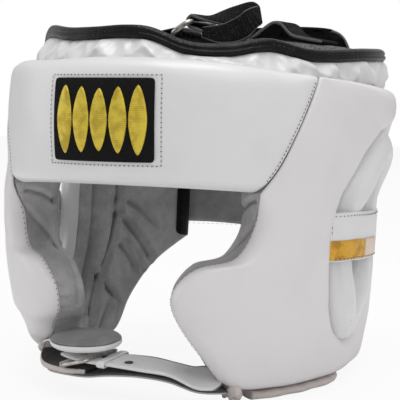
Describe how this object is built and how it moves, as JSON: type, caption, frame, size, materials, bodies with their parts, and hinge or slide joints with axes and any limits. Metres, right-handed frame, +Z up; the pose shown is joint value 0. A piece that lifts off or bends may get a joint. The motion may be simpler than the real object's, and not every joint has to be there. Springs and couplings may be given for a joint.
{
  "type": "boxing headguard",
  "caption": "Padded leather boxing headguard with brow, cheek and ear padding, an open face, a crown strap, a back closure and a buckled chin strap.",
  "frame": {"origin": "on the surface that the headguard stands on, under the middle of the head opening", "axes": "+Z up, the face looks along -Y, the wearer's left is +X"},
  "size_m": [0.2154, 0.2469, 0.21],
  "materials": {
    "white_leather": "smooth white synthetic leather, semi gloss",
    "cream_leather": "thin folded leather, cream",
    "grey_suede": "brushed grey suede",
    "foam": "closed-cell foam",
    "black_webbing": "woven black hook-and-loop and webbing",
    "black_mesh": "black mesh",
    "black_vinyl": "black synthetic leather binding",
    "gold_ribbon": "woven gold ribbon",
    "steel": "plated steel wire"
  },
  "bodies": {
    "shell": {"brow_cover": "white_leather", "brow_foam": "foam", "brow_lining": "grey_suede", "brow_patch": "black_webbing", "left_side_cover": "white_leather", "left_side_foam": "foam", "left_side_lining": "grey_suede", "left_hem": "cream_leather", "right_side_cover": "white_leather", "right_side_foam": "foam", "right_side_lining": "grey_suede", "right_hem": "cream_leather", "left_ear_roll": "white_leather", "left_ear_core": "foam", "left_ear_liner": "grey_suede", "left_ear_band": "white_leather", "left_ear_stripe": "gold_ribbon", "right_ear_roll": "white_leather", "right_ear_core": "foam", "right_ear_liner": "grey_suede", "right_ear_band": "white_leather", "right_ear_stripe": "gold_ribbon", "back_pad_cover": "white_leather", "back_pad_foam": "foam", "back_pad_lining": "grey_suede", "right_edge_binding": "black_vinyl", "loop_patch": "black_webbing", "crown_skirt": "white_leather", "crown_binding": "black_vinyl", "left_crown_panel": "black_mesh", "right_crown_panel": "black_mesh", "rear_crown_panel": "black_vinyl", "crown_elastic": "black_webbing", "crown_ring_tab": "black_vinyl", "crown_strap": "black_webbing", "left_strap_anchor": "cream_leather"},
    "back_band": {"back_band_cover": "white_leather", "back_band_foam": "foam", "back_band_lining": "grey_suede", "hook_patch": "black_webbing"},
    "crown_ring": {"crown_ring": "steel"},
    "crown_tail": {"crown_strap_tail": "black_webbing"},
    "chin": {"chin_strap": "white_leather", "chin_shield": "grey_suede", "chin_tab": "white_leather", "buckle_loop": "cream_leather", "buckle_frame": "steel"},
    "prong": {"buckle_prong": "steel"},
    "keeper": {"keeper": "cream_leather"},
    "chin_pad": {"chin_pad_cover": "white_leather", "chin_pad_foam": "foam", "chin_pad_top": "grey_suede"}
  },
  "joints": [
    {"name": "back_band_open", "type": "hinge", "parent": "shell", "child": "back_band", "pos_m": [0.05277, 0.08998, 0.087], "axis": [0, 0, -1], "range_deg": [0, 60], "stiffness_Nm_per_rad": 0.6},
    {"name": "crown_tail_peel", "type": "hinge", "parent": "shell", "child": "crown_tail", "pos_m": [0.0344, 0.0031, 0.1969], "axis": [-0.1005, 0.2009, 0.9744], "range_deg": [0, 12], "stiffness_Nm_per_rad": 0.05},
    {"name": "crown_ring_tilt", "type": "hinge", "parent": "shell", "child": "crown_ring", "pos_m": [-0.022, 0.006, 0.1935], "axis": [0, 1, 0], "range_deg": [-1.5, 1.5], "stiffness_Nm_per_rad": 0.05},
    {"name": "chin_swing", "type": "hinge", "parent": "shell", "child": "chin", "pos_m": [-0.0545, -0.0795, 0.0215], "axis": [0.9864, -0.014, -0.1636], "range_deg": [-3, 25], "stiffness_Nm_per_rad": 0.15},
    {"name": "chin_pad_lift", "type": "hinge", "parent": "chin", "child": "chin_pad", "pos_m": [-0.046, -0.08635, 0.025], "axis": [-0.4191, -0.908, 0], "range_deg": [0, 15], "stiffness_Nm_per_rad": 0.02},
    {"name": "prong_lift", "type": "hinge", "parent": "chin", "child": "prong", "pos_m": [-0.02691, -0.09677, 0.01685], "axis": [-0.1905, -0.9803, -0.0523], "range_deg": [0, 6]},
    {"name": "keeper_slide", "type": "slide", "parent": "chin", "child": "keeper", "axis": [0.9994, -0.0349, 0], "range_m": [-0.001, 0.002]}
  ],
  "couplings": [
    {"joint": "prong_lift", "follows": "chin_pad_lift", "ratio": 0.4}
  ]
}
